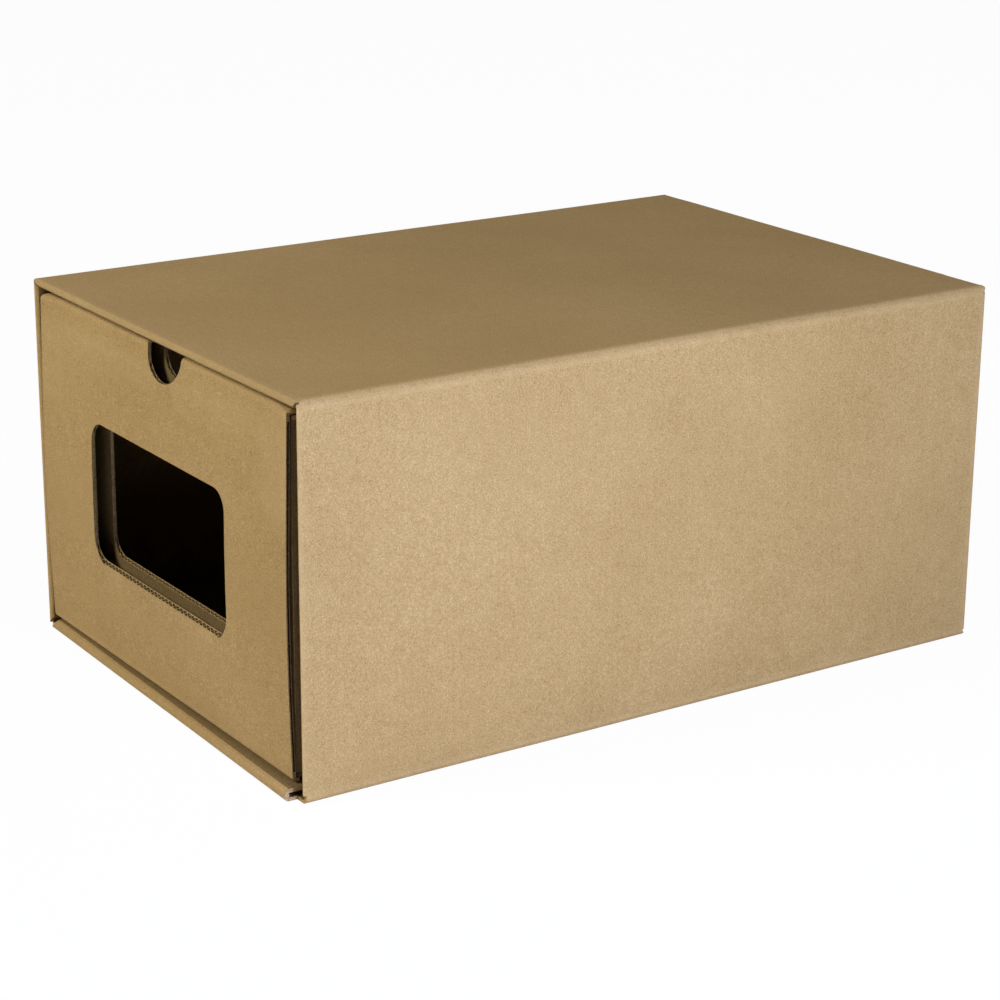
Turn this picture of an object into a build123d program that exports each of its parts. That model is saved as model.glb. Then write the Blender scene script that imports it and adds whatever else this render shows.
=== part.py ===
from build123d import *

import os
from math import atan2, degrees

# Drawer storage box of corrugated board: an outer sleeve, and a drawer that slides in it.
# Millimetres. The origin is under the middle of the sleeve, +X points to the right of someone who
# faces the drawer, +Y runs from the drawer front to the back, +Z is up.

# Board
board = 1.5  # thickness of the fluted board
glue_gap = 0.6  # gap between neighbouring tabs in one layer

# Sleeve, outside sizes
sleeve_width = 231.0
sleeve_length = 344.0  # with the underside's lip, which stands out at its right end
sleeve_height = 160.7
long_bend = 1.5  # inner radius of the four long folds

# Front hems: the sleeve's edge is rolled back inside on all four sides of the mouth. The nose of a
# hem has two creases, and a bevel between the inner one and the inner ply
hem_depth = 28.0
hem_joint = 9.0  # outer ply of a hem, back to where it is all panel
hem_air = 0.4  # air left between the two plies of a pressed hem
hem_bevel = 1.0
hem_crease = 1.1
right_lip = 0.6  # the right hem is pressed to a sharp edge that leans inwards
right_bevel = 3.6
right_crease = 0.35
bottom_air = 2.0  # the hem of the underside is swollen, and its fold runs askew
bottom_bevel = 1.8
bottom_crease = 1.6
lip_skew = 4.0  # its right end stands this far in front of its left end
slit_top_left = 0.7  # the hems don't quite meet at the corners of the mouth
slit_top_right = 1.0
slit_bottom_left = 2.6
slit_bottom_right = 6.0
lip_cut = 7.5  # the underside's hem is cut square this far from the right

# Sleeve back: a panel folded up from the underside, with tabs and a flap from the top glued over it
back_bend = 0.6  # inner radius of the folds at the back
back_slit = 0.2  # the long folds are slit this far so that the tabs can turn in
tab_depth = 25.0
back_flap_foot = 3.0  # the flap's lower edge above the underside
lap_width = 30.0  # glue lap inside the left wall

# Fit of the drawer in the sleeve
side_play = 7.8  # both sides together, between the hems
left_gap = 0.4  # the drawer rests close to the left hem
floor_gap = 0.8
top_gap = 0.8
front_recess = 1.5  # front face behind the noses of the hems, at its top and bottom
back_gap = 1.0

# Drawer walls
wall_depth = 9.1  # hollow front and back wall, outer face to inner face
front_bow = 2.0  # the front's outer ply swells out
bow_height = 56.0  # where it swells most, above the drawer's underside
bow_radius = 1300.0
floor_bend = 0.5  # inner radius of the folds from floor to front and back
top_bend = 0.5  # inner radius of the folds at the top of these walls
side_bend = 1.0  # inner radius of the side walls' folds
side_inset = 0.3  # side walls behind the front's cut edges
ply_gap = 0.3  # clearance between plies that are only tucked in
flap_margin = 6.0  # corner flaps stop this far from the window
corner_relief = 1.0  # notch where floor, side and front folds meet

# Locking tabs at the foot of the inner plies
lock_width = 30.0
lock_spacing = 110.0
lock_gap = 0.25

# Window and finger notch, cut through both plies of the front
window_width = 119.0
window_height = 60.5
window_corner = 9.0
window_offset = -0.3  # from the middle of the drawer
window_sill = 43.2  # above the drawer's underside
notch_radius = 14.6
notch_offset = 2.5  # from the middle of the drawer
notch_drop = 2.3  # the notch's centre below the top
notch_flare = 3.5  # rounding of the notch's upper corners
notch_rise = 0.2  # where that rounding would run out, above the top
corner_round = 2.5  # upper corners of the front and back

# Worked out from the sizes above
hem = 2 * board + hem_air
bottom_hem = 2 * board + bottom_air
front = lip_skew - sleeve_length / 2
back = sleeve_length / 2
half = board / 2  # folded sections are drawn along the middle of the board
long_fold = long_bend + board
tube_front = front + board
tab_face = back - board
tube_back = tab_face - board - back_bend - back_slit

drawer_width = sleeve_width - 2 * hem - side_play
drawer_x = left_gap - side_play / 2
drawer_front = front + front_recess
drawer_back = tab_face - board - back_gap
drawer_foot = bottom_hem + floor_gap
drawer_top = sleeve_height - hem - top_gap
floor_fold = floor_bend + board
ply_foot = drawer_foot + board + ply_gap
ply_head = drawer_top - board - top_bend
inner_ply_width = drawer_width - 2 * (side_inset + board + ply_gap)
side_span = drawer_width - 2 * side_inset
side_foot = drawer_foot + floor_fold + corner_relief
side_head = ply_head - ply_gap
flap_length = (side_span - window_width) / 2 - abs(window_offset) - flap_margin


def facing_front(y, x=0.0):
    """Plane that stands across the box at y: its normal points to the front, its Y is up."""
    return Plane(origin=(x, y, 0), x_dir=(1, 0, 0), z_dir=(0, -1, 0))


def front_hem(span, left_slit, right_slit, air, lip, bevel, crease):
    """Hem of a panel that faces up: rolled back underneath along X, with mitred ends.

    The panel's upper face is at Z 0 and the nose of the hem at Y 0. The nose is flat for the height of
    the lip and then slopes back over the bevel. A slit is the gap that is left between this hem and
    its neighbour at that end.
    """
    depth = 2 * board + air
    inside = max(board, bevel)
    with BuildPart() as strip:
        with BuildSketch(Plane.YZ) as section:
            with BuildLine():
                Polyline(
                    (hem_joint, 0),
                    (0, 0),
                    (0, -lip),
                    (bevel, -depth),
                    (hem_depth, -depth),
                    (hem_depth, board - depth),
                    (inside, board - depth),
                    (inside, -board),
                    (hem_joint, -board),
                    close=True,
                )
            make_face()
            fillet(section.vertices().group_by(Axis.X)[0], crease)
        extrude(amount=span / 2, both=True)
        for sign, slit in ((-1, left_slit), (1, right_slit)):
            mitre = Plane(origin=(sign * span / 2, 0, 0), x_dir=(0, 1, 0), z_dir=(sign, 0, -1))
            split(bisect_by=mitre.offset(-slit / 2), keep=Keep.BOTTOM)
    return strip.part


# Sleeve
with BuildPart() as sleeve:
    # Front hems on the top, right, underside and left, rounded off to the sleeve's outline
    rolled = (hem_air, hem - hem_bevel, hem_bevel, hem_crease)
    pressed = (hem_air, right_lip, right_bevel, right_crease)
    swollen = (bottom_air, bottom_hem - bottom_bevel, bottom_bevel, bottom_crease)
    with Locations((0, front, sleeve_height)):
        add(front_hem(sleeve_width, slit_top_left, slit_top_right, *rolled))
    with Locations(Location((sleeve_width / 2, front, sleeve_height / 2), (0, 90, 0))):
        add(front_hem(sleeve_height, slit_top_right, slit_bottom_right, *pressed))
    skewed = Location((-sleeve_width / 2, front, 0), (0, 0, -degrees(atan2(lip_skew, sleeve_width))))
    lip = front_hem(sleeve_width, 0, slit_bottom_left, *swollen)
    square_end = Plane(origin=(lip_cut - sleeve_width / 2, 0, 0), z_dir=(-1, 0, 0))
    with Locations(skewed * Location((sleeve_width / 2, 0, 0), (0, 180, 0))):
        add(split(lip, bisect_by=square_end, keep=Keep.BOTTOM, mode=Mode.PRIVATE))
    with Locations(Location((-sleeve_width / 2, front, sleeve_height / 2), (0, -90, 0))):
        add(front_hem(sleeve_height, slit_bottom_left, slit_top_left, *rolled))
    with BuildSketch(facing_front(front - lip_skew)) as outline:
        with Locations((0, sleeve_height / 2)):
            RectangleRounded(sleeve_width, sleeve_height, long_fold)
    extrude(amount=-lip_skew - hem_depth, mode=Mode.INTERSECT)

    # The four walls with their rounded long folds
    with BuildSketch(facing_front(tube_front)) as tube:
        with Locations((0, sleeve_height / 2)):
            RectangleRounded(sleeve_width, sleeve_height, long_fold)
            RectangleRounded(
                sleeve_width - 2 * board, sleeve_height - 2 * board, long_bend, mode=Mode.SUBTRACT
            )
    extrude(amount=tube_front - tube_back)

    # Inner back panel, folded up from the underside
    with BuildSketch(Plane.YZ) as back_panel:
        with BuildLine():
            FilletPolyline(
                (tube_back, half),
                (tab_face - half, half),
                (tab_face - half, sleeve_height - board - glue_gap),
                radius=back_bend + half,
            )
        trace(line_width=board)
    extrude(amount=sleeve_width / 2 - board - back_bend - glue_gap, both=True)

    # Tabs turned in from the sides and a flap folded down from the top, glued on the inner panel
    tab_length = sleeve_height - 2 * (long_fold + back_slit)
    with BuildSketch(Plane.XY.offset(long_fold + back_slit)) as side_tabs:
        with BuildLine():
            FilletPolyline(
                (sleeve_width / 2 - half, tube_back),
                (sleeve_width / 2 - half, back - half),
                (sleeve_width / 2 - tab_depth, back - half),
                radius=back_bend + half,
            )
        trace(line_width=board)
        mirror(about=Plane.YZ)
    extrude(amount=tab_length)
    with BuildSketch(Plane.YZ) as back_flap:
        with BuildLine():
            FilletPolyline(
                (tube_back, sleeve_height - half),
                (back - half, sleeve_height - half),
                (back - half, back_flap_foot),
                radius=back_bend + half,
            )
        trace(line_width=board)
    extrude(amount=sleeve_width / 2 - tab_depth - glue_gap, both=True)

    # Beside the flap the top reaches back over the tabs
    corner_width = tab_depth + glue_gap - long_fold
    with BuildSketch(Plane.XY.offset(sleeve_height - board)) as top_corners:
        with Locations((sleeve_width / 2 - long_fold, tube_back)):
            Rectangle(corner_width, tab_face - tube_back, align=(Align.MAX, Align.MIN))
        mirror(about=Plane.YZ)
    extrude(amount=board)

    # Glue lap that closes the tube, inside the left wall
    with BuildSketch(facing_front(front + hem_depth + glue_gap)) as lap:
        with Locations((board - sleeve_width / 2, long_fold)):
            Rectangle(board, lap_width, align=Align.MIN)
    extrude(amount=front + hem_depth + 2 * glue_gap - tube_back)
sleeve.part.label = "sleeve"

# Drawer
with BuildPart() as drawer:
    # Floor with the hollow front and back: one strip, rolled over at both ends
    inner_plies = (drawer_front + wall_depth - half, drawer_back - wall_depth + half)
    bends = (top_bend, top_bend, bow_radius, floor_bend, floor_bend, top_bend, top_bend)
    with BuildSketch(Plane.YZ.offset(drawer_x)) as strip:
        with BuildLine():
            FilletPolyline(
                (inner_plies[0], ply_foot),
                (inner_plies[0], drawer_top - half),
                (drawer_front + half, drawer_top - half),
                (drawer_front + half - front_bow, drawer_foot + bow_height),
                (drawer_front + half, drawer_foot + half),
                (drawer_back - half, drawer_foot + half),
                (drawer_back - half, drawer_top - half),
                (inner_plies[1], drawer_top - half),
                (inner_plies[1], ply_foot),
                radius=[bend + half for bend in bends],
            )
        trace(line_width=board)
    extrude(amount=drawer_width / 2, both=True)

    # The inner plies are narrower: they go down between the side walls
    trim = (drawer_width - inner_ply_width) / 2
    with BuildSketch(Plane(origin=(drawer_x, 0, ply_foot))) as trims:
        with Locations([(sign * drawer_width / 2, y) for sign in (-1, 1) for y in inner_plies]):
            Rectangle(2 * trim, board + 2 * ply_gap)
    extrude(amount=ply_head - ply_foot, mode=Mode.SUBTRACT)

    # Tabs at the foot of the inner plies, in slots of the floor
    lock_places = [(sign * lock_spacing / 2, y) for sign in (-1, 1) for y in inner_plies]
    with BuildSketch(Plane(origin=(drawer_x, 0, drawer_foot))) as slots:
        with Locations(lock_places):
            Rectangle(lock_width + 2 * lock_gap, board + 2 * lock_gap)
    extrude(amount=board, mode=Mode.SUBTRACT)
    with BuildSketch(Plane(origin=(drawer_x, 0, drawer_foot))) as locks:
        with Locations(lock_places):
            Rectangle(lock_width, board)
    extrude(amount=ply_foot - drawer_foot)

    # Folds from the floor into the side walls, where the floor is trimmed to make room for them
    channel_front = drawer_front + floor_fold + corner_relief
    channel_back = drawer_back - floor_fold - corner_relief
    fold_room = side_inset + board + side_bend
    with BuildSketch(Plane(origin=(drawer_x, 0, drawer_foot))) as floor_edges:
        with Locations([(sign * drawer_width / 2, (channel_front + channel_back) / 2) for sign in (-1, 1)]):
            Rectangle(2 * fold_room, channel_back - channel_front)
    extrude(amount=board, mode=Mode.SUBTRACT)
    with BuildSketch(facing_front(channel_front, drawer_x)) as channel:
        with BuildLine():
            FilletPolyline(
                (half - side_span / 2, side_foot),
                (half - side_span / 2, drawer_foot + half),
                (side_span / 2 - half, drawer_foot + half),
                (side_span / 2 - half, side_foot),
                radius=side_bend + half,
            )
        trace(line_width=board)
    extrude(amount=channel_front - channel_back)

    # Side walls, with corner flaps tucked into the hollow front and back
    flap_front = drawer_front + board + ply_gap + half
    flap_back = drawer_back - board - ply_gap - half
    with BuildSketch(Plane(origin=(drawer_x, 0, side_foot))) as walls:
        with BuildLine():
            FilletPolyline(
                (side_span / 2 - flap_length, flap_front),
                (side_span / 2 - half, flap_front),
                (side_span / 2 - half, flap_back),
                (side_span / 2 - flap_length, flap_back),
                radius=side_bend + half,
            )
        trace(line_width=board)
        mirror(about=Plane.YZ)
    extrude(amount=side_head - side_foot)

    # Window, through both plies of the front
    with BuildSketch(facing_front(drawer_front - front_bow, drawer_x)) as window:
        with Locations((window_offset, drawer_foot + window_sill)):
            RectangleRounded(window_width, window_height, window_corner, align=(Align.CENTER, Align.MIN))
    extrude(amount=-wall_depth - front_bow, mode=Mode.SUBTRACT)

    # Finger notch, a round bite out of the rolled top with softened corners
    with BuildSketch(facing_front(drawer_front - front_bow, drawer_x)) as notch:
        with Locations((notch_offset, drawer_top - notch_drop)):
            Circle(notch_radius)
        with Locations((notch_offset, drawer_top + notch_rise)):
            Rectangle(4 * notch_radius, 2 * notch_radius, align=(Align.CENTER, Align.MIN))
        throat = notch.vertices().group_by(Axis.Y)[0]
        fillet(throat, notch_flare)
    extrude(amount=-wall_depth - front_bow, mode=Mode.SUBTRACT)

    # Rounded upper corners of the front and back
    corner = (drawer_width / 2, drawer_top)
    with BuildSketch(facing_front(drawer_front - front_bow, drawer_x)) as corners:
        with Locations(corner):
            Rectangle(2 * corner_round, 2 * corner_round)
        with Locations((corner[0] - corner_round, corner[1] - corner_round)):
            Circle(corner_round, mode=Mode.SUBTRACT)
            Rectangle(2 * corner_round, corner_round, align=(Align.CENTER, Align.MAX), mode=Mode.SUBTRACT)
            Rectangle(corner_round, 2 * corner_round, align=(Align.MAX, Align.CENTER), mode=Mode.SUBTRACT)
        mirror(about=Plane.YZ)
    extrude(amount=drawer_front - front_bow - drawer_back, mode=Mode.SUBTRACT)
drawer.part.label = "drawer"

os.makedirs("parts", exist_ok=True)
export_step(sleeve.part, "parts/sleeve.step")
export_step(drawer.part, "parts/drawer.step")
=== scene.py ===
"""Drawer storage box of corrugated kraft board, dressed for its render.

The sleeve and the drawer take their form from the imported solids. Each is refined and settled a little as
used board is, and the drawer's cut edges are opened to show the flutes. Sizes are in metres.
"""
import logging
import math
from dataclasses import dataclass, field
from enum import Enum
from typing import Any, Callable, ClassVar, Iterator, Union

import bmesh
import bpy
from mathutils import Matrix, Vector, noise
from mathutils.bvhtree import BVHTree


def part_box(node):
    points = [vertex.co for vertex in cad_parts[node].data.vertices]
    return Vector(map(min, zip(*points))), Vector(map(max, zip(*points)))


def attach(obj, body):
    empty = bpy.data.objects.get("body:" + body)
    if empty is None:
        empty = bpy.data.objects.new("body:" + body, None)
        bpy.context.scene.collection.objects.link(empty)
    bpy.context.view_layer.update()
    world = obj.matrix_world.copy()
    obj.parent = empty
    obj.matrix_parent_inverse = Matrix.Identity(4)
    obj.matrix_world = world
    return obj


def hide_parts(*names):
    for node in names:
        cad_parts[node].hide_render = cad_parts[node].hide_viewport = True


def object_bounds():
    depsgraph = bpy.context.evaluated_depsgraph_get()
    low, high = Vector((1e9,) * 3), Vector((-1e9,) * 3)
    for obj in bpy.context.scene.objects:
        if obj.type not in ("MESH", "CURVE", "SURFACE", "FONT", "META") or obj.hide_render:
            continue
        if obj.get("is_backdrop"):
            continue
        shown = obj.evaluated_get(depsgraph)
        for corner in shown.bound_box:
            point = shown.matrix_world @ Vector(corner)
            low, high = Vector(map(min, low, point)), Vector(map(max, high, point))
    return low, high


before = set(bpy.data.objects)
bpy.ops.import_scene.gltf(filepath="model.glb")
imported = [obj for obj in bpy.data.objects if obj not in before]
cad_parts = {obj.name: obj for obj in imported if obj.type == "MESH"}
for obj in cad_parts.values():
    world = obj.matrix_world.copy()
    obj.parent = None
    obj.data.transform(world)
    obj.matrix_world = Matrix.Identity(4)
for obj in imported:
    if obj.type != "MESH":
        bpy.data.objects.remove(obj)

MM = 0.001
LOG = logging.getLogger("drawer_box")

Number = Union[int, float]
Colour = tuple[float, float, float, float]

WHITE: Colour = (1.0, 1.0, 1.0, 1.0)
FLUTE_PITCH = 3.3 * MM


class Axis(Enum):
    """Axes of the box: across it, from front to back, and up."""

    X = Vector((1.0, 0.0, 0.0))
    Y = Vector((0.0, 1.0, 0.0))
    Z = Vector((0.0, 0.0, 1.0))


class Surface(Enum):
    """Surfaces of a board piece, in the order of its finishes."""

    OUTER_LINER = 0
    CUT_EDGE = 1
    # Darker inner finish, also given to outer faces in shade as painted shade.
    INNER_LINER = 2


# Node trees


class Link:
    """An output socket whose operators add Math nodes to its tree."""

    def __init__(self, graph: "Graph", socket: bpy.types.NodeSocket) -> None:
        """Wraps one output socket of a tree."""
        self.graph = graph
        self.socket = socket

    def output(self, name: str) -> "Link":
        """Another output of the same node, by name."""
        return Link(self.graph, self.socket.node.outputs[name])

    def __add__(self, other: "Value") -> "Link":
        """This plus other."""
        return self.graph.maths("ADD", self, other)

    def __radd__(self, other: "Value") -> "Link":
        """Other plus this."""
        return self.graph.maths("ADD", other, self)

    def __sub__(self, other: "Value") -> "Link":
        """This less other."""
        return self.graph.maths("SUBTRACT", self, other)

    def __rsub__(self, other: "Value") -> "Link":
        """Other less this."""
        return self.graph.maths("SUBTRACT", other, self)

    def __mul__(self, other: "Value") -> "Link":
        """This times other."""
        return self.graph.maths("MULTIPLY", self, other)

    def __rmul__(self, other: "Value") -> "Link":
        """Other times this."""
        return self.graph.maths("MULTIPLY", other, self)

    def __gt__(self, other: "Value") -> "Link":
        """1 where this is more than other, and 0 elsewhere."""
        return self.graph.maths("GREATER_THAN", self, other)

    def __mod__(self, other: "Value") -> "Link":
        """What is left of this after whole steps of other."""
        return self.graph.maths("MODULO", self, other)


Value = Union[Link, Number]


class Graph:
    """A node tree under construction."""

    def __init__(self, tree: bpy.types.NodeTree) -> None:
        """Takes over an empty or fresh tree."""
        self.tree = tree

    def node(
        self,
        kind: str,
        settings: dict[str, Any] | None = None,
        inputs: dict[Any, Any] | None = None,
        output: Any = 0,
    ) -> Link:
        """Adds a node.

        Args:
            kind: The node's type name.
            settings: Properties of the node, set before its sockets.
            inputs: Values or links of its input sockets, by name or place.
            output: Name or place of the output that is wanted.

        Returns:
            That output, or the first input of a node that has no output.
        """
        node = self.tree.nodes.new(kind)
        for name, value in (settings or {}).items():
            setattr(node, name, value)
        for name, value in (inputs or {}).items():
            if isinstance(value, Link):
                self.tree.links.new(value.socket, node.inputs[name])
            else:
                node.inputs[name].default_value = value
        return Link(self, node.outputs[output]) if node.outputs else Link(self, node.inputs[0])

    def maths(self, operation: str, *values: Value) -> Link:
        """Adds a Math node.

        Args:
            operation: The Math node's operation.
            values: Its values, links or numbers.

        Returns:
            The result.
        """
        return self.node("ShaderNodeMath", {"operation": operation}, dict(enumerate(values)))

    def mix(self, factor: Value, first: Any, second: Any) -> Link:
        """Mixes two colours.

        Args:
            factor: Share of the second colour.
            first: Colour or link.
            second: Colour or link.

        Returns:
            The mixed colour.
        """
        settings = {"data_type": "RGBA", "clamp_factor": True}
        return self.node("ShaderNodeMix", settings, {0: factor, 6: first, 7: second}, output=2)

    def spread(self, value: Link, low: float, high: float) -> Link:
        """Runs smoothly from 0 where value is low to 1 where it is high."""
        settings = {"interpolation_type": "SMOOTHSTEP"}
        return self.node("ShaderNodeMapRange", settings, {"Value": value, 1: low, 2: high})

    def noise(self, place: Link, per_metre: float, detail: float = 2.0, roughness: float = 0.5) -> Link:
        """Cloudy noise over a place.

        Args:
            place: Coordinates in metres.
            per_metre: How many features fit in a metre.
            detail: Octaves.
            roughness: Weight of the finer octaves.

        Returns:
            A value around a half.
        """
        inputs = {"Vector": place, "Scale": per_metre, "Detail": detail, "Roughness": roughness}
        return self.node("ShaderNodeTexNoise", None, inputs)


def background_ray(graph: Graph) -> Link:
    """Adds what tells the rays that see the background: from the camera, in gloss and through glass.

    Args:
        graph: The tree to add to.

    Returns:
        1 for such a ray, and 0 for light that falls on the box.
    """
    seen = graph.node("ShaderNodeLightPath", output="Is Camera Ray")
    mirrored = graph.maths("MAXIMUM", seen.output("Is Glossy Ray"), seen.output("Is Transmission Ray"))
    return graph.maths("MAXIMUM", seen, mirrored)


def new_material(name: str) -> tuple[bpy.types.Material, Graph]:
    """Makes a material with an empty node tree.

    Args:
        name: The material's name.

    Returns:
        The material and the graph to fill.
    """
    material = bpy.data.materials.new(name)
    material.use_nodes = True
    material.node_tree.nodes.clear()
    return material, Graph(material.node_tree)


# Finishes


@dataclass(frozen=True)
class KraftLiner:
    """Brown kraft paper that faces the board, with the flutes showing through faintly.

    Attributes:
        name: The material's name.
        colour: Colour of most of the paper.
        dark: Colour of its darker fibres and its specks.
        pale: Colour of its paler fibres, and of its folds where they are rubbed and carry a painted
            highlight.
        pitch: Distance between the flutes that show through.
        broad: Weight of the broad clouds in the tone.
        cloud: Weight of the fine clouds.
        grain: Weight of the grain.
        fibre: Weight of the loose fibres.
        stripe: Weight of the flutes.
        contrast: Change of the tone that turns the colour to dark or pale.
        speck: Strength of the specks.
        rub_and_highlight: Strength of the paling on the folds, partly rubbing and partly painted
            highlight.
        rub_and_highlight_base: Share of that paling that is even.
        rub_and_highlight_cloud: Share of that paling that follows the clouds.
        roughness: Roughness of the paper.
        cloud_roughness: How much it varies with the clouds.
        rub_roughness: How much rougher a rubbed fold is.
        gloss: Specular level.
        washboard: Height of the flutes that show through.
        tooth: Height of the grain and the fibres.
    """

    BROAD_PER_METRE: ClassVar[float] = 16.0
    CLOUDS_PER_METRE: ClassVar[float] = 230.0
    GRAIN_PER_METRE: ClassVar[float] = 1500.0
    FIBRES_PER_METRE: ClassVar[tuple[float, float, float]] = (260.0, 2400.0, 2400.0)
    FIBRE_TURNS: ClassVar[tuple[float, ...]] = (0.3, 1.4, 2.5)
    FIBRE_TILT: ClassVar[tuple[float, float, float]] = (1.0, 1.7, 0.6)
    FIBRE_EDGE: ClassVar[tuple[float, float]] = (0.60, 0.78)
    SPECKS_PER_METRE: ClassVar[float] = 260.0
    SPECK_EDGE: ClassVar[tuple[float, float]] = (0.17, 0.07)
    SPECK_BARE_SHARE: ClassVar[float] = 0.86

    name: str
    colour: Colour = (0.388, 0.248, 0.088, 1.0)
    dark: Colour = (0.270, 0.165, 0.055, 1.0)
    pale: Colour = (0.510, 0.350, 0.150, 1.0)
    pitch: float = FLUTE_PITCH
    broad: float = 0.10
    cloud: float = 0.11
    grain: float = 0.50
    fibre: float = 0.05
    stripe: float = 0.004
    contrast: float = 0.13
    speck: float = 0.60
    rub_and_highlight: float = 0.55
    rub_and_highlight_base: float = 0.25
    rub_and_highlight_cloud: float = 0.55
    roughness: float = 0.80
    cloud_roughness: float = 0.16
    rub_roughness: float = 0.10
    gloss: float = 0.15
    washboard: float = 0.006 * MM
    tooth: float = 0.030 * MM

    def make(self) -> bpy.types.Material:
        """Builds the material.

        Returns:
            Kraft paper with cloudy fibres, specks, folds paled by rubbing and a painted highlight, and a
            faint washboard.
        """
        material, graph = new_material(self.name)
        place = graph.node("ShaderNodeTexCoord", output="Object")
        sheet = graph.node("ShaderNodeUVMap", {"uv_map": "sheet"})
        across = graph.node("ShaderNodeSeparateXYZ", None, {0: sheet}, output="X")
        folds = graph.node("ShaderNodeAttribute", {"attribute_name": "fold"}, output="Fac")

        broad = graph.noise(place, self.BROAD_PER_METRE)
        clouds = graph.noise(place, self.CLOUDS_PER_METRE, detail=4.0, roughness=0.6)
        fibres = self._fibres(graph, place)
        grain = graph.noise(place, self.GRAIN_PER_METRE, roughness=0.6)
        wave = graph.maths("SINE", across * (2.0 * math.pi / self.pitch))

        tone = broad * self.broad + clouds * self.cloud + grain * self.grain
        tone = tone + fibres * self.fibre + wave * self.stripe
        middle = 0.5 * (self.broad + self.cloud + self.grain)
        deeper = graph.spread(tone, middle, middle - self.contrast)
        lighter = graph.spread(tone, middle, middle + self.contrast)
        colour = graph.mix(deeper, self.colour, self.dark)
        colour = graph.mix(lighter, colour, self.pale)
        colour = graph.mix(self._specks(graph, place) * self.speck, colour, self.dark)
        # Paler folds: partly rubbing of the paper, partly a painted highlight on the fold ridges.
        rubbed_and_highlit = folds * (self.rub_and_highlight_base + clouds * self.rub_and_highlight_cloud)
        colour = graph.mix(rubbed_and_highlit * self.rub_and_highlight, colour, self.pale)

        height = wave * self.washboard + (grain - 0.5) * self.tooth + fibres * self.tooth
        bump = graph.node("ShaderNodeBump", None, {"Height": height, "Strength": 1.0, "Distance": 1.0})
        rough = self.roughness + (clouds - 0.5) * self.cloud_roughness + rubbed_and_highlit * self.rub_roughness
        shader = graph.node(
            "ShaderNodeBsdfPrincipled",
            None,
            {"Base Color": colour, "Roughness": rough, "Normal": bump, "Specular IOR Level": self.gloss},
        )
        graph.node("ShaderNodeOutputMaterial", None, {"Surface": shader})
        return material

    def _fibres(self, graph: Graph, place: Link) -> Link:
        """Short fibres that lie in several directions.

        Args:
            graph: The material's graph.
            place: Object coordinates.

        Returns:
            About 0 between fibres, and up to 1 on them.
        """
        total: Link | None = None
        for turn in self.FIBRE_TURNS:
            rotation = tuple(turn * tilt for tilt in self.FIBRE_TILT)
            inputs = {"Vector": place, "Rotation": rotation, "Scale": self.FIBRES_PER_METRE}
            along = graph.node("ShaderNodeMapping", {"vector_type": "POINT"}, inputs)
            strand = graph.spread(graph.noise(along, 1.0, detail=1.0), *self.FIBRE_EDGE)
            total = strand if total is None else graph.maths("MAXIMUM", total, strand)
        return total

    def _specks(self, graph: Graph, place: Link) -> Link:
        """Scattered dark specks, as recycled paper has.

        Args:
            graph: The material's graph.
            place: Object coordinates.

        Returns:
            1 in a speck and 0 elsewhere.
        """
        cells = graph.node("ShaderNodeTexVoronoi", None, {"Vector": place, "Scale": self.SPECKS_PER_METRE})
        pick = graph.node("ShaderNodeSeparateColor", None, {0: cells.output("Color")})
        return graph.spread(cells, *self.SPECK_EDGE) * (pick > self.SPECK_BARE_SHARE)


@dataclass(frozen=True)
class RawEdge:
    """Cut edge of the board, where the paper's fibres stand open.

    Attributes:
        name: The material's name.
        colour: Colour of the open fibres.
        dark: Colour between them.
        roughness: Roughness of the edge.
        fluff_roughness: How much it varies with the fibres.
        fluff_height: Height of the fibres.
        gloss: Specular level.
    """

    FLUFF_PER_METRE: ClassVar[float] = 1300.0
    FLUFF_EDGE: ClassVar[tuple[float, float]] = (0.62, 0.30)

    name: str
    colour: Colour = (0.470, 0.332, 0.165, 1.0)
    dark: Colour = (0.260, 0.165, 0.070, 1.0)
    roughness: float = 0.85
    fluff_roughness: float = 0.10
    fluff_height: float = 0.05 * MM
    gloss: float = 0.20

    def make(self) -> bpy.types.Material:
        """Builds the material.

        Returns:
            Rough open paper.
        """
        material, graph = new_material(self.name)
        place = graph.node("ShaderNodeTexCoord", output="Object")
        fluff = graph.noise(place, self.FLUFF_PER_METRE, detail=3.0, roughness=0.65)
        colour = graph.mix(graph.spread(fluff, *self.FLUFF_EDGE), self.colour, self.dark)
        height = fluff * self.fluff_height
        bump = graph.node("ShaderNodeBump", None, {"Height": height, "Strength": 1.0, "Distance": 1.0})
        shader = graph.node(
            "ShaderNodeBsdfPrincipled",
            None,
            {
                "Base Color": colour,
                "Roughness": self.roughness + (fluff - 0.5) * self.fluff_roughness,
                "Normal": bump,
                "Specular IOR Level": self.gloss,
            },
        )
        graph.node("ShaderNodeOutputMaterial", None, {"Surface": shader})
        return material


OUTER_KRAFT = KraftLiner("outer_kraft")
# Darker brown on the inner liner and on outer faces that lie in the sleeve's gaps: painted shade for the
# insides and gaps.
INNER_KRAFT_AND_SHADE = KraftLiner(
    "inner_kraft_and_shade",
    colour=(0.190, 0.121, 0.044, 1.0),
    dark=(0.130, 0.080, 0.028, 1.0),
    pale=(0.255, 0.170, 0.073, 1.0),
)
CUT_EDGE = RawEdge("raw_edge")
# Near-black finish of the flute hollows: painted shade inside them.
FLUTE_HOLLOW_SHADE = RawEdge("flute_hollow_shade", colour=(0.080, 0.050, 0.020, 1.0), dark=(0.040, 0.024, 0.010, 1.0))


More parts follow.
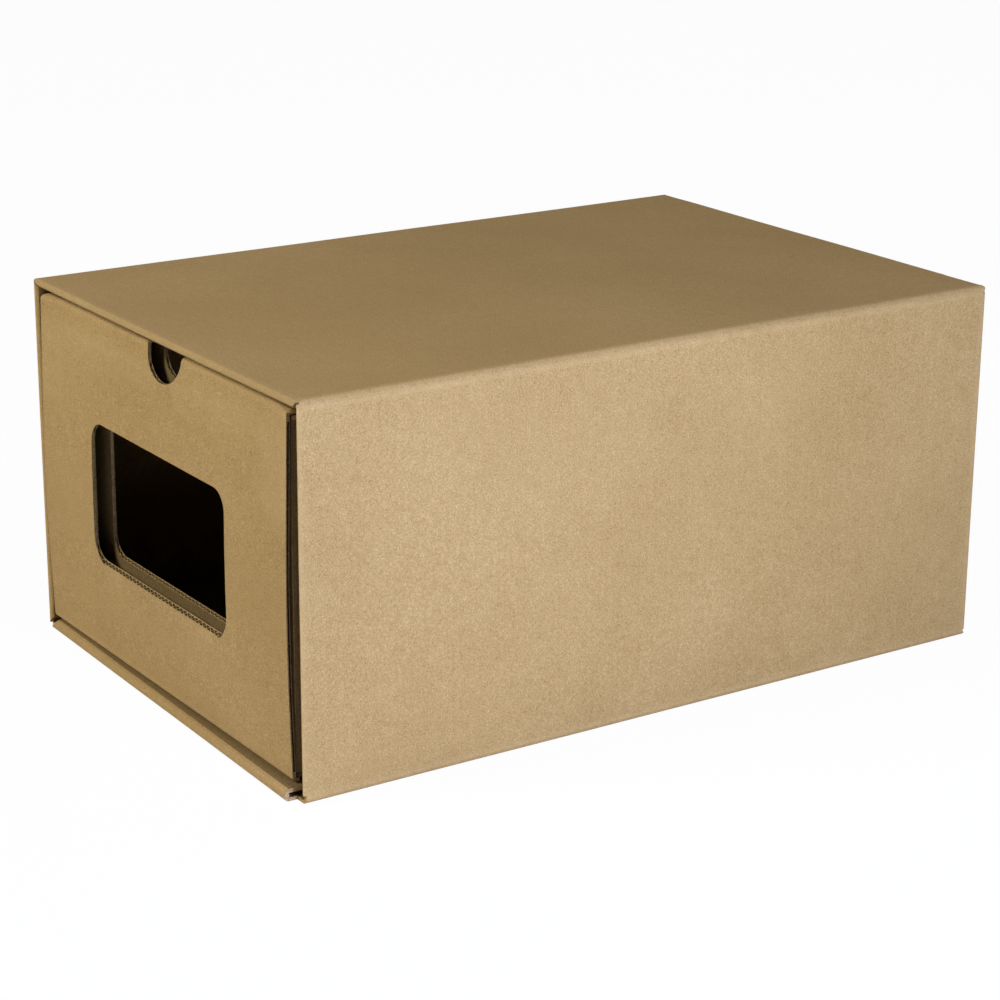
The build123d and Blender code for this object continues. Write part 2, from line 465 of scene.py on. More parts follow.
@dataclass(frozen=True)
class PaleFloor:
    """White floor that keeps the box's shadow."""

    name: str = "pale_floor"
    colour: Colour = (0.86, 0.86, 0.86, 1.0)
    whiteness: float = 0.97

    def make(self) -> bpy.types.Material:
        """Builds the material.

        Returns:
            A matt floor that the camera sees nearly white.
        """
        material, graph = new_material(self.name)
        seen = background_ray(graph)
        matt = graph.node("ShaderNodeBsdfDiffuse", None, {"Color": self.colour})
        white = graph.node("ShaderNodeEmission", None, {"Color": WHITE, "Strength": 1.0})
        shader = graph.node("ShaderNodeMixShader", None, {0: seen * self.whiteness, 1: matt, 2: white})
        graph.node("ShaderNodeOutputMaterial", None, {"Surface": shader})
        return material


# Corrugated board


@dataclass(frozen=True)
class Board:
    """Corrugated board: two liners with a fluted paper between them.

    Attributes:
        thickness: Thickness of the board.
        liner: Thickness of a liner.
        flute_paper: Thickness of the fluted paper.
        pitch: Length of the flute's wave.
        open_share: Share of the pitch that a hollow takes.
        cut_depth: Least depth of board behind a cut edge.
    """

    thickness: float = 1.5 * MM
    liner: float = 0.26 * MM
    flute_paper: float = 0.22 * MM
    pitch: float = FLUTE_PITCH
    open_share: float = 0.84
    cut_depth: float = 3.6 * MM

    @property
    def core(self) -> float:
        """Height between the two liners."""
        return self.thickness - 2.0 * self.liner


@dataclass(frozen=True)
class FluteRow:
    """A row of flute hollows that opens at a cut edge.

    Attributes:
        start: Middle of the first hollow, half way along it.
        across: Direction of the row.
        along: Direction of the flutes.
        count: Number of hollows, two to a pitch.
        length: Length of each hollow.
    """

    start: Vector
    across: Vector
    along: Vector
    count: int
    length: float

    @property
    def matrix(self) -> Matrix:
        """Places a row that was made along X, with its flutes along Z."""
        through = self.along.cross(self.across)
        turn = Matrix((self.across, through, self.along)).transposed()
        return Matrix.Translation(self.start) @ turn.to_4x4()


class FluteHollows:
    """Geometry Nodes tree that makes the hollows on both sides of a fluted paper."""

    SAMPLES = 9

    def __init__(self, board: Board, core: bpy.types.Material) -> None:
        """Builds the tree for a board, with the finish of its hollows, a near-black painted shade."""
        self.board = board
        self.tree = bpy.data.node_groups.new("flute_hollows", "GeometryNodeTree")
        self._build(core)

    def _socket(self, name: str, kind: str, side: str = "INPUT") -> str:
        """Adds a named socket to the tree's interface and returns its identifier."""
        return self.tree.interface.new_socket(name, in_out=side, socket_type=kind).identifier

    def _build(self, core: bpy.types.Material) -> None:
        """Lays out the nodes: one hollow shaped by the flute's wave, repeated along X.

        Args:
            core: Finish of the flutes, a near-black painted shade.
        """
        self.inputs = {
            "Pitch": self._socket("Pitch", "NodeSocketFloat"),
            "Core": self._socket("Core", "NodeSocketFloat"),
            "Paper": self._socket("Paper", "NodeSocketFloat"),
            "Length": self._socket("Length", "NodeSocketFloat"),
            "Count": self._socket("Count", "NodeSocketInt"),
        }
        self._socket("Hollows", "NodeSocketGeometry", "OUTPUT")
        graph = Graph(self.tree)
        pitch = graph.node("NodeGroupInput", output="Pitch")
        height, paper = pitch.output("Core"), pitch.output("Paper")

        size = graph.node(
            "ShaderNodeCombineXYZ",
            None,
            {0: pitch * self.board.open_share, 1: height, 2: pitch.output("Length")},
        )
        block = graph.node(
            "GeometryNodeMeshCube",
            None,
            {"Size": size, "Vertices X": self.SAMPLES, "Vertices Y": 2, "Vertices Z": 2},
        )
        place = graph.node("GeometryNodeInputPosition")
        x = graph.node("ShaderNodeSeparateXYZ", None, {0: place}, output="X")
        y, z = x.output("Y"), x.output("Z")
        swing = 0.5 * (height - paper)
        turn = graph.maths("DIVIDE", x * (2.0 * math.pi), pitch)
        wave = 0.5 * paper - swing * graph.maths("COSINE", turn)
        upper = y > 0.0
        level = upper * y + (1.0 - upper) * wave
        shaped = graph.node("ShaderNodeCombineXYZ", None, {0: x, 1: level, 2: z})
        hollow = graph.node("GeometryNodeSetPosition", None, {"Geometry": block, "Position": shaped})

        step = graph.node("ShaderNodeCombineXYZ", None, {0: pitch * 0.5})
        row = graph.node("GeometryNodeMeshLine", None, {"Count": pitch.output("Count"), "Offset": step})
        flip = (graph.node("GeometryNodeInputIndex") % 2.0) * math.pi
        turned = graph.node("ShaderNodeCombineXYZ", None, {2: flip})
        copies = graph.node(
            "GeometryNodeInstanceOnPoints", None, {"Points": row, "Instance": hollow, "Rotation": turned}
        )
        solid = graph.node("GeometryNodeRealizeInstances", None, {"Geometry": copies})
        dressed = graph.node("GeometryNodeSetMaterial", None, {"Geometry": solid, "Material": core})
        graph.node("NodeGroupOutput", None, {"Hollows": dressed})

    def row(self, row: FluteRow) -> bpy.types.Mesh:
        """Evaluates the tree for one row.

        Args:
            row: The row to make.

        Returns:
            A plain mesh of the row's hollows, in place.
        """
        carrier = bpy.data.objects.new("flute_row", bpy.data.meshes.new("flute_row"))
        bpy.context.scene.collection.objects.link(carrier)
        modifier = carrier.modifiers.new("hollows", "NODES")
        modifier.node_group = self.tree
        values = {
            "Pitch": self.board.pitch,
            "Core": self.board.core,
            "Paper": self.board.flute_paper,
            "Length": row.length,
            "Count": row.count,
        }
        for name, value in values.items():
            modifier[self.inputs[name]] = value
        mesh = evaluated_mesh(carrier)
        # A mesh that nodes alone make starts with an empty slot
        while mesh.materials and mesh.materials[0] is None:
            mesh.materials.pop(index=0)
        mesh.transform(row.matrix)
        bpy.data.objects.remove(carrier)
        return mesh


def evaluated_mesh(piece: bpy.types.Object) -> bpy.types.Mesh:
    """Turns an object with its modifiers into a plain mesh.

    Args:
        piece: The object.

    Returns:
        A new mesh.
    """
    graph = bpy.context.evaluated_depsgraph_get()
    graph.update()
    return bpy.data.meshes.new_from_object(piece.evaluated_get(graph), depsgraph=graph)


@dataclass
class BoardPiece:
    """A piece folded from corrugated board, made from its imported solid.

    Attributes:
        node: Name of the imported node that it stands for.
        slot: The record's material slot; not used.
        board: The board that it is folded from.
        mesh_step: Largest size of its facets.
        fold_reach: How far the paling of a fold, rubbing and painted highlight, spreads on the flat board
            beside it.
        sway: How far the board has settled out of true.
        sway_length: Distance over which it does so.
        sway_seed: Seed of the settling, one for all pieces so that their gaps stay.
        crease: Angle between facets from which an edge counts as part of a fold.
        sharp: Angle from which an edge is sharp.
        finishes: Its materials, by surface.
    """

    WELD: ClassVar[float] = 0.001 * MM  # corners this close are one
    FLAT: ClassVar[float] = math.radians(0.3)  # facets that meet at less are merged
    ON_PLANE: ClassVar[float] = 0.0005 * MM  # corners this close to a plane lie on it
    SKIN: ClassVar[float] = 0.01 * MM  # rays start this far off their face
    MOSTLY: ClassVar[float] = 0.7  # part of a normal from which a face looks along an axis

    node: str
    slot: str
    board: Board
    mesh_step: float = 14.0 * MM
    fold_reach: float = 2.0 * MM
    sway: float = 0.15 * MM
    sway_length: float = 75.0 * MM
    sway_seed: int = 7
    crease: float = math.radians(2.0)
    sharp: float = math.radians(32.0)
    finishes: dict[Surface, bpy.types.Material] = field(default_factory=dict)

    def __post_init__(self) -> None:
        """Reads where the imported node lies."""
        self.low, self.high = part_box(self.node)
        self.middle = (Vector(self.low) + Vector(self.high)) * 0.5

    def rows(self) -> Iterator[FluteRow]:
        """The rows of flutes that show at this piece's cut edges."""
        yield from ()

    def creases(self) -> Iterator[tuple[Axis, float]]:
        """Places where flat board runs into a fold."""
        yield from ()

    def ease(self, shape: bmesh.types.BMesh) -> None:
        """Reshapes the board where the real one differs a little from the solid.

        Args:
            shape: The piece.
        """

    def lean(self, point: Vector) -> Vector:
        """How far a point of the piece leans back or has sunk."""
        return Vector()

    def is_fold(self, centre: Vector, normal: Vector) -> bool:
        """Whether a face with much board behind it is a fold and not a cut edge."""
        return False

    def is_inner_or_shaded(self, centre: Vector, room: float | None) -> bool:
        """Whether a face gets the darker inner finish: the inner liner, or an outer face given it as
        painted shade.

        Args:
            centre: Middle of the face.
            room: Free distance in front of it, or None where nothing of the piece is met.

        Returns:
            True for the darker inner finish.
        """
        raise NotImplementedError

    def sheet_place(self, point: Vector, normal: Vector) -> tuple[float, float]:
        """Place on the flat sheet: across the flutes, then along them.

        Args:
            point: A point of the piece.
            normal: Normal of the face that it is on.

        Returns:
            The two distances.
        """
        raise NotImplementedError

    def build(self, hollows: FluteHollows) -> bpy.types.Object:
        """Makes the piece and hands it to the frame.

        Args:
            hollows: Maker of the flutes at the cut edges.

        Returns:
            The finished object.
        """
        piece = bpy.data.objects.new(f"{self.node}_folded", self._refined())
        bpy.context.scene.collection.objects.link(piece)
        self._open_flutes(piece, hollows)
        self._settle(piece.data)
        self._lay_out(piece.data)
        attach(piece, self.node)
        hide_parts(self.node)
        return piece

    def _refined(self) -> bpy.types.Mesh:
        """Copies the solid, merges its facets and divides its walls into a grid.

        Returns:
            A mesh whose faces have their finishes.
        """
        shape = bmesh.new()
        shape.from_mesh(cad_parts[self.node].data)
        bmesh.ops.remove_doubles(shape, verts=shape.verts, dist=self.WELD)
        bmesh.ops.dissolve_limit(shape, angle_limit=self.FLAT, verts=shape.verts, edges=shape.edges)
        for axis, place in self._divisions():
            parts = shape.verts[:] + shape.edges[:] + shape.faces[:]
            bmesh.ops.bisect_plane(
                shape, geom=parts, dist=self.ON_PLANE, plane_co=axis.value * place, plane_no=axis.value
            )
        self.ease(shape)
        self._choose_finishes(shape)
        mesh = bpy.data.meshes.new(self.node)
        shape.to_mesh(mesh)
        shape.free()
        for surface in Surface:
            mesh.materials.append(self.finishes[surface])
        return mesh

    def _divisions(self) -> Iterator[tuple[Axis, float]]:
        """Planes that divide the walls: an even grid, and one beside each fold."""
        for index, axis in enumerate(Axis):
            span = self.high[index] - self.low[index]
            steps = math.ceil(span / self.mesh_step)
            for step in range(1, steps):
                yield axis, self.low[index] + span * step / steps
        yield from self.creases()

    def _choose_finishes(self, shape: bmesh.types.BMesh) -> None:
        """Tells the cut edges, and the darker inner finish with its painted shade, from the outer liner.

        A cut edge has more board behind it than the board's thickness.

        Args:
            shape: The piece.
        """
        shape.normal_update()
        tree = BVHTree.FromBMesh(shape)
        for face in shape.faces:
            centre, normal = face.calc_center_median(), face.normal
            depth = tree.ray_cast(centre - normal * self.SKIN, -normal)[3]
            room = tree.ray_cast(centre + normal * self.SKIN, normal)[3]
            surface = Surface.OUTER_LINER
            if (depth is None or depth > self.board.cut_depth) and not self.is_fold(centre, normal):
                surface = Surface.CUT_EDGE
            # Darker inner finish: the inner liner, and painted shade on outer faces that lie in shade.
            elif self.is_inner_or_shaded(centre, room):
                surface = Surface.INNER_LINER
            face.material_index = surface.value

    def _open_flutes(self, piece: bpy.types.Object, hollows: FluteHollows) -> None:
        """Cuts the flutes' hollows into the piece's cut edges.

        Args:
            piece: The piece, whose mesh is replaced.
            hollows: Maker of the rows.
        """
        joined = bmesh.new()
        for row in self.rows():
            mesh = hollows.row(row)
            joined.from_mesh(mesh)
            # The flutes' near-black finish, painted shade.
            core = mesh.materials[0]
            bpy.data.meshes.remove(mesh)
        if not joined.faces:
            joined.free()
            return
        cutter = bpy.data.objects.new("flute_cutter", bpy.data.meshes.new("flute_cutter"))
        joined.to_mesh(cutter.data)
        joined.free()
        cutter.data.materials.append(core)
        bpy.context.scene.collection.objects.link(cutter)
        cut = piece.modifiers.new("flutes", "BOOLEAN")
        cut.operation = "DIFFERENCE"
        cut.solver = "EXACT"
        cut.material_mode = "TRANSFER"
        cut.object = cutter
        whole = piece.data
        piece.data = evaluated_mesh(piece)
        piece.modifiers.remove(cut)
        bpy.data.objects.remove(cutter)
        bpy.data.meshes.remove(whole)

    def _settle(self, mesh: bpy.types.Mesh) -> None:
        """Moves the board slightly out of true, but leaves it flat where it stands.

        Args:
            mesh: The piece's mesh.
        """
        noise.seed_set(self.sway_seed)
        for vertex in mesh.vertices:
            vertex.co += self.lean(vertex.co)
            shift = noise.noise_vector(vertex.co / self.sway_length) * self.sway
            shift.z *= min(1.0, max(0.0, vertex.co.z / self.sway_length))
            vertex.co += shift

    def _lay_out(self, mesh: bpy.types.Mesh) -> None:
        """Writes the sheet's coordinates and the fold marks, and sets the shading.

        Args:
            mesh: The piece's mesh.
        """
        shape = bmesh.new()
        shape.from_mesh(mesh)
        shape.normal_update()
        sheet = shape.loops.layers.uv.new("sheet")
        fold = shape.verts.layers.float.new("fold")
        for face in shape.faces:
            for corner in face.loops:
                corner[sheet].uv = self.sheet_place(corner.vert.co, face.normal)
        # Fold marks pale the folds in the material: partly rubbing, partly a painted highlight.
        for edge in shape.edges:
            rounded = edge.is_manifold and edge.is_convex
            if rounded and self.crease < edge.calc_face_angle() < self.sharp:
                for vertex in edge.verts:
                    vertex[fold] = 1.0
        shape.to_mesh(mesh)
        shape.free()
        mesh.shade_smooth()
        mesh.set_sharp_from_angle(angle=self.sharp)


@dataclass
class Sleeve(BoardPiece):
    """Outer sleeve: a tube with rolled hems round its mouth and a closed back.

    Attributes:
        long_fold: Outer radius of the four long folds.
        nose: Depth of a hem's rounded nose.
        nose_facing: Part of the normal from which a face of it looks forwards.
        lip_skew: How far the lip lies askew.
        tab_depth: Depth of the glue tabs at the back.
        mouth_depth: Depth behind the front where the darker inner finish starts; on the hems' turned-in
            faces it is painted shade.
        back_fold: Outer radius of the folds at the back.
        corner_slit: Distance from the back to the ends of the long folds.
        panel_side: Width of the folds' ends that lie free beside the inner back panel.
        near: Closeness that picks the corners at a place.
        fold_slack: Slack in the height of the folds' ends.
        tab_slack: Slack in the depth of the tabs.
    """

    long_fold: float = 3.0 * MM
    nose: float = 1.5 * MM
    nose_facing: float = 0.6
    lip_skew: float = 4.0 * MM
    tab_depth: float = 25.0 * MM
    mouth_depth: float = 3.0 * MM
    back_fold: float = 2.1 * MM
    corner_slit: float = 3.8 * MM
    panel_side: float = 2.6 * MM
    near: float = 0.05 * MM
    fold_slack: float = 0.25 * MM
    tab_slack: float = 0.75 * MM

    def ease(self, shape: bmesh.types.BMesh) -> None:
        """Draws the ends of the long folds back to the outline of the tabs.

        Args:
            shape: The piece.
        """
        slit = self.high[1] - self.corner_slit
        strip_end = self.high[1] - self.board.thickness
        for vertex in shape.verts:
            point = vertex.co
            aside = self.high[0] - abs(point.x)
            under_top = self.high[2] - point.z
            level = min(point.z - self.low[2], under_top)
            at_top = under_top < self.long_fold + self.back_fold
            reach = self.long_fold + self.near if at_top else self.panel_side
            in_fold = aside < reach and level < self.long_fold + self.fold_slack
            in_strip = aside < self.tab_depth + self.tab_slack
            in_strip = in_strip and under_top < self.board.thickness + self.near
            fold = abs(point.y - slit) < self.near and in_fold
            strip = abs(point.y - strip_end) < self.near and in_strip
            if fold or strip:
                point.y = self.high[1] - max(self._drop(aside), self._drop(level))

    def _drop(self, depth: float) -> float:
        """How far a back fold's curve falls off at a depth from the side."""
        rest = max(0.0, self.back_fold - depth)
        return self.back_fold - math.sqrt(self.back_fold ** 2 - rest ** 2)

    def is_fold(self, centre: Vector, normal: Vector) -> bool:
        """The noses of the hems have the length of a panel behind them."""
        return normal.y < -self.nose_facing and centre.y < self.low[1] + self.lip_skew + self.nose

    def is_inner_or_shaded(self, centre: Vector, room: float | None) -> bool:
        """The darker inner finish starts just behind the hems' noses; on the hems' turned-in faces it is
        painted shade.
        """
        return room is not None and centre.y > self.low[1] + self.mouth_depth

    def creases(self) -> Iterator[tuple[Axis, float]]:
        """Beside the long folds, the noses of the hems and the folds at the back."""
        reach = self.long_fold + self.fold_reach
        for side in (-1.0, 1.0):
            yield Axis.X, side * (self.high[0] - reach)
            yield Axis.Z, self.middle.z + side * (self.middle.z - self.low[2] - reach)
        yield Axis.Y, self.low[1] + self.lip_skew + self.nose + self.fold_reach
        yield Axis.Y, self.high[1] - reach

    def sheet_place(self, point: Vector, normal: Vector) -> tuple[float, float]:
        """The flutes run round the sleeve, and straight across the back panel."""
        if abs(normal.y) > self.MOSTLY:
            return point.z, point.x
        return point.y, point.x + point.z


@dataclass
class Drawer(BoardPiece):
    """Drawer with a hollow rolled front, a window and a finger notch.

    Attributes:
        wall_depth: Depth of the hollow front, outer face to inner face.
        wall_fold: Width of the side walls' front folds, and their distance behind the front.
        floor_fold: Outer radius of the folds at the foot of the front and back.
        top_fold: Outer radius of the folds at their top.
        side_head_drop: How far the side walls' tops lie below the front's.
        side_inset: How far the side walls lie behind the front's cut sides.
        window_sill: Height of the sill above the drawer's underside.
        notch_drop: How far the notch's centre lies below the top.
        notch_cover: Board left between the notch's flutes and the roll at the top.
        edge_cut: How deep a hollow reaches into a cut edge.
        edge_steps: Number of hollows that follow the bow of a cut side.
        edge_web: Board left between two of them.
        front_reach: Depth behind the front from where all takes the darker inner finish; on outer faces it
            is painted shade.
        sill_bevel: How far the outer ply's sill falls, over bevel_reach.
        inner_bevel: How far the inner ply's sill falls.
        sill_slack: Slack below the sill that picks its corners.
        side_slack: Slack beside the window that does.
        top_lean: How far the front's top is pushed in, over lean_height and lean_depth.
        lean_edge: How steeply this ends at the sides.
        top_sink: How far the roll at the front's top has sunk, over sink_height.
        probe_aside: Distance from the window where the plies are probed.
        probe_ahead: Distance in front of the drawer from where they are.
    """

    wall_depth: float = 9.1 * MM
    wall_fold: float = 4.0 * MM
    floor_fold: float = 2.0 * MM
    top_fold: float = 2.0 * MM
    side_head_drop: float = 2.3 * MM
    side_inset: float = 0.3 * MM
    window_width: float = 119.0 * MM
    window_height: float = 60.5 * MM
    window_corner: float = 9.0 * MM
    window_offset: float = -0.3 * MM
    window_sill: float = 43.2 * MM
    notch_radius: float = 14.6 * MM
    notch_offset: float = 2.5 * MM
    notch_drop: float = 2.3 * MM
    notch_cover: float = 1.0 * MM
    edge_cut: float = 8.0 * MM
    edge_steps: int = 8
    edge_web: float = 0.15 * MM
    front_reach: float = 14.0 * MM
    sill_bevel: float = 1.8 * MM
    inner_bevel: float = 0.8 * MM
    bevel_reach: float = 3.0 * MM
    sill_slack: float = 0.3 * MM
    side_slack: float = 1.0 * MM
    top_lean: float = 4.0 * MM
    lean_height: float = 60.0 * MM
    lean_depth: float = 45.0 * MM
    lean_edge: int = 12
    top_sink: float = 2.2 * MM
    sink_height: float = 12.0 * MM
    probe_aside: float = 15.0 * MM
    probe_ahead: float = 10.0 * MM

    def __post_init__(self) -> None:
        """Reads where the solid lies, and keeps its faces for probing."""
        super().__post_init__()
        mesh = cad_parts[self.node].data
        corners = [vertex.co for vertex in mesh.vertices]
        self.faces = BVHTree.FromPolygons(corners, [tuple(face.vertices) for face in mesh.polygons])
        self.window_left = self.middle.x + self.window_offset - self.window_width / 2.0
        self.beside_window = self.window_left - self.probe_aside

    def is_inner_or_shaded(self, centre: Vector, room: float | None) -> bool:
        """The darker inner finish goes on the hollow of the front, on the side walls and on all behind the
        front; on their outer faces it is painted shade.
        """
        hollow = room is not None and room < 2.0 * self.wall_depth
        beside = abs(centre.x - self.middle.x) > self.high[0] - self.middle.x - self.wall_fold
        below = centre.z < self.high[2] - self.side_head_drop - self.top_fold
        # Painted shade: the side walls' outer faces, which lie in the sleeve's gap, get the darker finish.
        wall = beside and below and centre.y > self.low[1] + self.wall_fold
        return hollow or wall or centre.y > self.low[1] + self.front_reach

    def ease(self, shape: bmesh.types.BMesh) -> None:
        """Cuts the window's sills aslant, so that the outer liner ends below the inner one.

        Args:
            shape: The piece.
        """
        sill = self.low[2] + self.window_sill
        plies = (self.outer_ply(sill).y, self.inner_ply(sill).y)
        for vertex in shape.verts:
            point = vertex.co
            rise = point.z - sill
            along = point.x - self.window_left
            in_height = -self.sill_slack < rise < self.bevel_reach
            if not (in_height and -self.side_slack < along < self.window_width + self.side_slack):
                continue
            fall = 1.0 - max(0.0, rise / self.bevel_reach)
            for ply, bevel in zip(plies, (self.sill_bevel, self.inner_bevel)):
                if ply - self.board.thickness < point.y < ply:
                    point.z -= bevel * fall

    def lean(self, point: Vector) -> Vector:
        """The front is pushed in a little at its top, most in the middle, and its roll has sunk."""
        below = self.high[2] - point.z
        height = min(1.0, max(0.0, 1.0 - below / self.lean_height))
        depth = min(1.0, max(0.0, 1.0 - (point.y - self.low[1] - self.front_reach) / self.lean_depth))
        aside = min(1.0, abs(point.x - self.middle.x) / (self.high[0] - self.middle.x))
        roll = self.top_fold + self.fold_reach
        sunk = min(1.0, max(0.0, 1.0 - (below - roll) / self.sink_height))
        back = self.top_lean * height * height * depth * (1.0 - aside ** self.lean_edge)
        return Vector((0.0, back, -self.top_sink * sunk * depth))

    def outer_ply(self, height: float) -> Vector:
        """Middle of the front's outer ply beside the window, at a height."""
        start = Vector((self.beside_window, self.low[1] - self.probe_ahead, height))
        return self.faces.ray_cast(start, Axis.Y.value)[0] + Axis.Y.value * (self.board.thickness / 2.0)

    def inner_ply(self, height: float) -> Vector:
        """Middle of the front's inner ply beside the window, at a height."""
        start = Vector((self.beside_window, self.middle.y, height))
        return self.faces.ray_cast(start, -Axis.Y.value)[0] - Axis.Y.value * (self.board.thickness / 2.0)

    def creases(self) -> Iterator[tuple[Axis, float]]:
        """Beside the folds at the foot and the top of the front and back."""
        yield Axis.Z, self.low[2] + self.floor_fold + self.fold_reach
        yield Axis.Z, self.high[2] - self.top_fold - self.fold_reach
        yield Axis.Y, self.low[1] + self.floor_fold + self.fold_reach
        yield Axis.Y, self.high[1] - self.floor_fold - self.fold_reach

    def rows(self) -> Iterator[FluteRow]:
        """Flutes at the window, the notch, the cut sides of the front, and the side walls' tops."""
        yield from self._window_rows()
        yield from self._notch_rows()
        yield from self._side_rows()

    def _rising_row(
        self, ply: Callable[[float], Vector], first: float, low: float, high: float, count: int
    ) -> FluteRow:
        """A row whose flutes rise in a ply of the front.

        Args:
            ply: Gives the ply's middle at a height.
            first: Place of the first hollow across the box.
            low: Height where the hollows start.
            high: Height where they end.
            count: Number of hollows.

        Returns:
            The row.
        """
        foot, head = ply(low), ply(high)
        start = (foot + head) * 0.5
        start.x = first
        rise = head - foot
        return FluteRow(start, Axis.X.value, rise.normalized(), count, rise.length)

    def _window_rows(self) -> Iterator[FluteRow]:
        """Flutes cut across at the sill and the head of the window."""
        pitch = self.board.pitch
        middle = self.middle.x + self.window_offset
        sill = self.low[2] + self.window_sill
        head = sill + self.window_height
        count = int((self.window_width - pitch) / pitch * 2.0) + 1
        first = middle - (count - 1) * pitch / 4.0
        for ply in (self.outer_ply, self.inner_ply):
            yield self._rising_row(ply, first, sill - self.edge_cut, sill + self.window_corner, count)
            yield self._rising_row(ply, first, head - self.window_corner, head + self.edge_cut, count)

    def _notch_rows(self) -> Iterator[FluteRow]:
        """Flutes cut across by the round finger notch."""
        pitch = self.board.pitch
        middle = self.middle.x + self.notch_offset
        bottom = self.high[2] - self.notch_drop - self.notch_radius - self.edge_cut
        top = self.high[2] - self.top_fold - self.notch_cover
        count = int((2.0 * self.notch_radius - pitch) / pitch * 2.0)
        first = middle - (count - 1) * pitch / 4.0
        for ply in (self.outer_ply, self.inner_ply):
            yield self._rising_row(ply, first, bottom, top, count)

    def _side_rows(self) -> Iterator[FluteRow]:
        """Flutes cut along at the upright sides of the front, and at the side walls' tops."""
        foot = self.low[2] + 2.0 * self.floor_fold
        head = self.high[2] - 2.0 * self.top_fold
        step = (head - foot) / self.edge_steps
        for edge in (self.low[0], self.high[0]):
            for index in range(self.edge_steps):
                low = foot + index * step
                yield self._rising_row(self.outer_ply, edge, low, low + step - self.edge_web, 1)
        inset = self.side_inset + self.board.thickness / 2.0
        length = self.high[1] - self.low[1] - 3.0 * self.wall_depth
        for wall in (self.low[0] + inset, self.high[0] - inset):
            start = Vector((wall, self.middle.y, self.high[2] - self.side_head_drop))
            yield FluteRow(start, Axis.Z.value, Axis.Y.value, 1, length)

    def sheet_place(self, point: Vector, normal: Vector) -> tuple[float, float]:
        """The flutes run up the front and back, and lie level in the side walls."""
        if abs(normal.x) > self.MOSTLY:
            return point.z, point.y
        return point.x, point.y + point.z


# Studio


@dataclass(frozen=True)
class Softbox:
    """A soft lamp that faces the box."""

    name: str
    place: tuple[float, float, float]
    width: float
    height: float
    power: float
    tint: tuple[float, float, float] = (1.0, 1.0, 1.0)

    def build(self, target: Vector) -> bpy.types.Object:
        """Hangs the lamp.

        Args:
            target: Point that it faces.

        Returns:
            The lamp's object.
        """
        lamp = bpy.data.lights.new(self.name, "AREA")
        lamp.shape = "RECTANGLE"
        lamp.size = self.width
        lamp.size_y = self.height
        lamp.energy = self.power
        lamp.color = self.tint
        holder = bpy.data.objects.new(self.name, lamp)
        holder.location = self.place
        holder.rotation_euler = (target - Vector(self.place)).to_track_quat("-Z", "Y").to_euler()
        bpy.context.scene.collection.objects.link(holder)
        return holder


@dataclass(frozen=True)
class View:
    """Where the camera stands and how it looks at the box, angles in degrees."""

    eye: tuple[float, float, float] = (0.9410, -0.6281, 0.4308)
    azimuth: float = 56.364
    elevation: float = 18.052
    roll: float = 0.360
    focal_length: float = 97.04
    sensor: float = 36.0
    nearest: float = 0.01

    def build(self) -> bpy.types.Object:
        """Sets up the camera.

        Returns:
            The camera's object.
        """
        camera = bpy.data.cameras.new("camera")
        camera.sensor_width = self.sensor
        camera.lens = self.focal_length
        camera.clip_start = self.nearest
        azimuth, elevation, roll = map(math.radians, (self.azimuth, self.elevation, self.roll))
        level = math.cos(elevation)
        back = Vector((math.sin(azimuth) * level, -math.cos(azimuth) * level, math.sin(elevation)))
        right = Vector((math.cos(azimuth), math.sin(azimuth), 0.0))
        up = back.cross(right)
        turned_right = right * math.cos(roll) + up * math.sin(roll)
        turned_up = up * math.cos(roll) - right * math.sin(roll)
        turn = Matrix((turned_right, turned_up, back)).transposed()
        stand = bpy.data.objects.new("camera", camera)
        stand.matrix_world = Matrix.Translation(Vector(self.eye)) @ turn.to_4x4()
        bpy.context.scene.collection.objects.link(stand)
        bpy.context.scene.camera = stand
        return stand


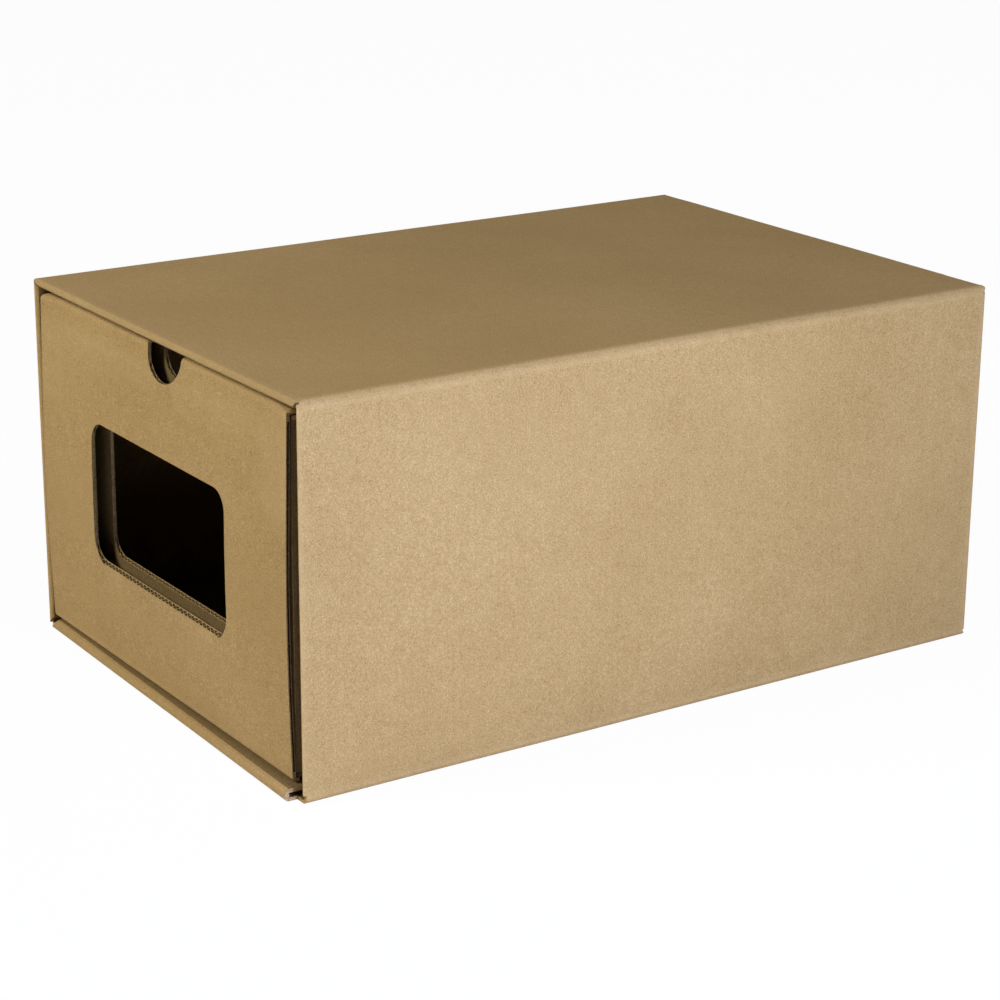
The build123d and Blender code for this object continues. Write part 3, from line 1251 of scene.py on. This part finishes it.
@dataclass
class Studio:
    """Floor, lamps, surroundings and camera."""

    floor_size: float = 8.0
    ambient: Colour = (0.03, 0.03, 0.03, 1.0)
    view: View = field(default_factory=View)
    lamps: tuple[Softbox, ...] = (
        Softbox("front_softbox", (-0.18, -1.16, 0.92), 0.4, 0.4, 12.8),
        Softbox("right_softbox", (0.74, -0.13, 0.23), 0.08, 0.4, 4.2, (0.86, 1.0, 1.55)),
        Softbox("high_right_softbox", (1.16, -0.08, 0.86), 0.18, 0.8, 3.4, (0.93, 1.0, 1.5)),
        Softbox("back_softbox", (0.15, 1.45, 0.20), 0.7, 0.7, 6.0),
        Softbox("left_softbox", (-1.25, -0.15, 0.20), 0.7, 0.7, 3.4),
    )

    def build(self, target: Vector) -> None:
        """Builds the studio round the box.

        Args:
            target: Point that the lamps face.
        """
        bpy.context.scene.view_settings.view_transform = "Standard"
        self._floor()
        self._surroundings()
        for lamp in self.lamps:
            lamp.build(target)
        self.view.build()

    def _floor(self) -> None:
        """Lays the floor."""
        half = self.floor_size / 2.0
        corners = [(-half, -half, 0.0), (half, -half, 0.0), (half, half, 0.0), (-half, half, 0.0)]
        mesh = bpy.data.meshes.new("floor")
        mesh.from_pydata(corners, [], [(0, 1, 2, 3)])
        mesh.materials.append(PaleFloor().make())
        floor = bpy.data.objects.new("floor", mesh)
        bpy.context.scene.collection.objects.link(floor)
        floor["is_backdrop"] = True

    def _surroundings(self) -> None:
        """White to the camera, and a dim even light to the box."""
        world = bpy.data.worlds.new("surroundings")
        world.use_nodes = True
        world.node_tree.nodes.clear()
        graph = Graph(world.node_tree)
        seen = background_ray(graph)
        colour = graph.mix(seen, self.ambient, WHITE)
        backdrop = graph.node("ShaderNodeBackground", None, {"Color": colour, "Strength": 1.0})
        graph.node("ShaderNodeOutputWorld", None, {"Surface": backdrop})
        bpy.context.scene.world = world


def main() -> None:
    """Builds the box and the studio."""
    logging.basicConfig(level=logging.INFO, format="%(name)s: %(message)s")
    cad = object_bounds()
    board = Board()
    hollows = FluteHollows(board, FLUTE_HOLLOW_SHADE.make())
    finishes = {
        Surface.OUTER_LINER: OUTER_KRAFT.make(),
        Surface.CUT_EDGE: CUT_EDGE.make(),
        Surface.INNER_LINER: INNER_KRAFT_AND_SHADE.make(),
    }
    pieces = (
        Sleeve("sleeve", "sleeve_board", board, finishes=finishes),
        Drawer("drawer", "drawer_board", board, finishes=finishes),
    )
    for piece in pieces:
        made = piece.build(hollows)
        LOG.info("%s: %d faces", made.name, len(made.data.polygons))
    Studio().build((cad[0] + cad[1]) * 0.5)


if __name__ == "__main__":
    main()
